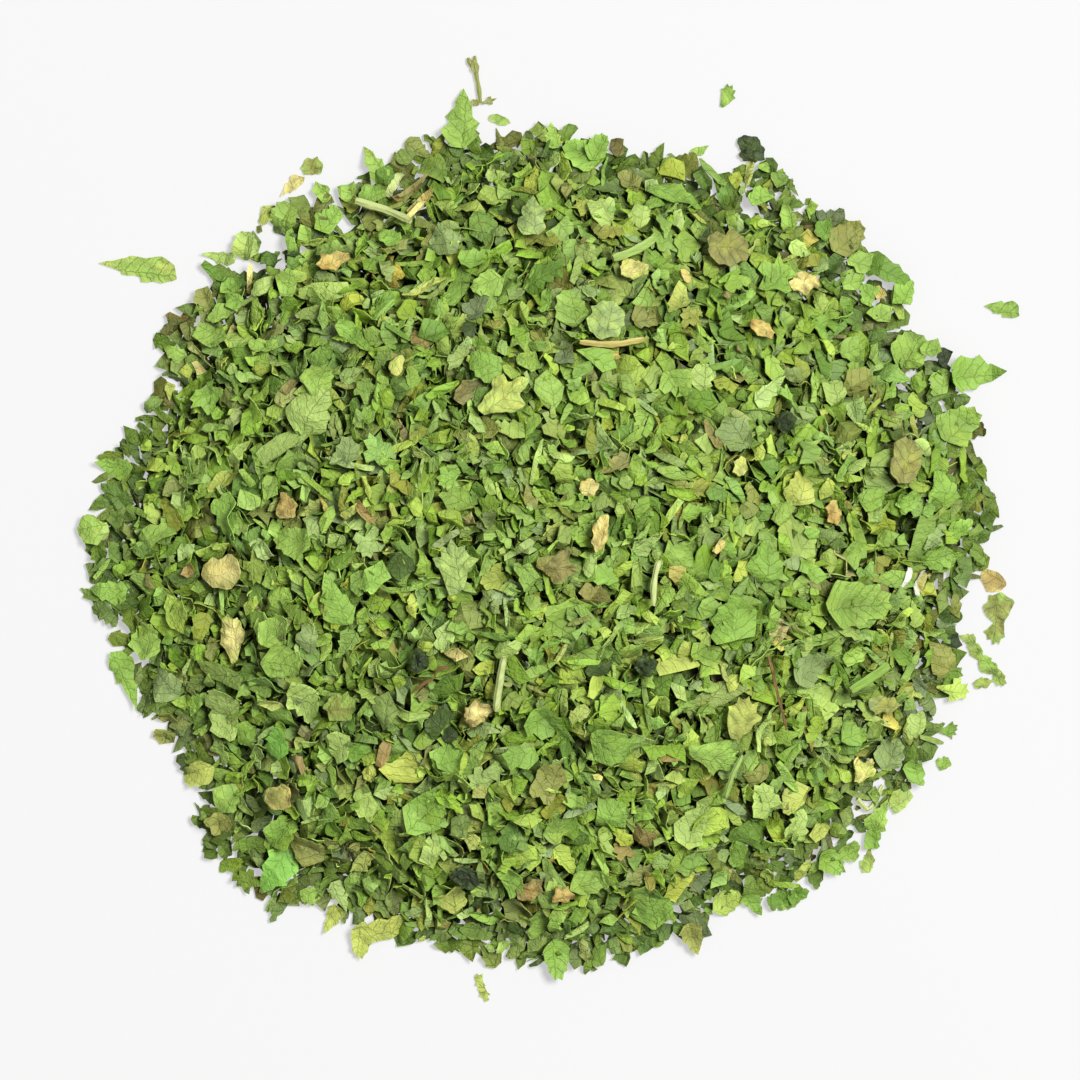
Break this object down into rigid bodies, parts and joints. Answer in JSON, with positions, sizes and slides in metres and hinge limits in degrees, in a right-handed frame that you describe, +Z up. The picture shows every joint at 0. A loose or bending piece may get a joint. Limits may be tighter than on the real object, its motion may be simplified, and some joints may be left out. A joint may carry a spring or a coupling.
{
  "type": "heap of dried chopped coriander leaf",
  "caption": "Low round heap of dried, chopped coriander leaf: toothed leaf chips and stalk bits that lie at random, with a ragged edge and a few loose chips beside it.",
  "frame": {"origin": "middle of the heap's flat underside, on the surface that it lies on", "axes": "+Z up, square to the surface; +Y towards the top edge of the picture and +X towards its right edge"},
  "size_m": [0.1318, 0.1353, 0.0241],
  "materials": {
    "green": "satin-matte dried leaf, mid green, paler at the cut edges, with fine dark veins",
    "tan": "matte dried leaf browned to tan and orange-brown",
    "straw": "matte dried leaf and stalk bleached to straw",
    "brown": "matte withered leaf and stalk, warm brown",
    "olive": "satin-matte dried leaf, dull olive green",
    "yellow": "satin-matte leaf yellowed before drying",
    "lime": "satin-matte dried leaf faded to yellow-green",
    "pale": "satin-matte dried leaf, pale grey-green underside",
    "dark": "matte crumpled leaf, dark bottle green",
    "stalk": "satin cut stalk, pale green, ribbed lengthwise"
  },
  "bodies": {
    "root": {"leaf_heap": "green", "tan_chip_1": "tan", "tan_chip_2": "straw", "tan_chip_3": "tan", "tan_chip_4": "straw", "tan_chip_5": "tan", "tan_chip_6": "tan", "tan_chip_7": "tan", "brown_chip_1": "brown", "brown_chip_2": "brown", "brown_chip_3": "brown", "brown_chip_4": "olive", "orange_chip": "tan", "yellow_chip_1": "yellow", "yellow_chip_2": "yellow", "yellow_chip_3": "yellow", "yellow_leaf_1": "lime", "yellow_leaf_2": "straw", "yellow_leaf_3": "yellow", "yellow_leaf_4": "lime", "yellow_leaf_5": "lime", "olive_leaf_1": "olive", "olive_leaf_2": "olive", "olive_leaf_3": "olive", "olive_leaf_4": "olive", "pale_leaf_1": "pale", "pale_leaf_2": "pale", "pale_leaf_3": "pale", "broad_leaf": "green", "dark_curl_1": "dark", "dark_curl_2": "dark", "dark_curl_3": "dark", "dark_curl_4": "dark", "straw_stalk_1": "straw", "straw_stalk_2": "straw", "green_stalk_1": "stalk", "green_stalk_2": "stalk", "green_stalk_3": "green", "thin_stalk_1": "stalk", "thin_stalk_2": "stalk", "bent_stalk": "straw", "brown_stalk_1": "brown", "brown_stalk_2": "brown", "loose_leaf_tip": "green", "loose_straw_chip": "straw", "loose_curl": "olive", "loose_chip_1": "green", "loose_chip_2": "green", "loose_dark_curl": "dark", "loose_chip_3": "green", "loose_tan_chip": "tan", "loose_pair": "olive", "loose_chain": "green", "loose_chip_4": "olive", "loose_chip_5": "green", "loose_chip_6": "olive", "loose_chip_7": "green", "loose_crumbs": "lime", "loose_chip_8": "olive", "loose_bud_sprig": "olive"}
  },
  "joints": []
}
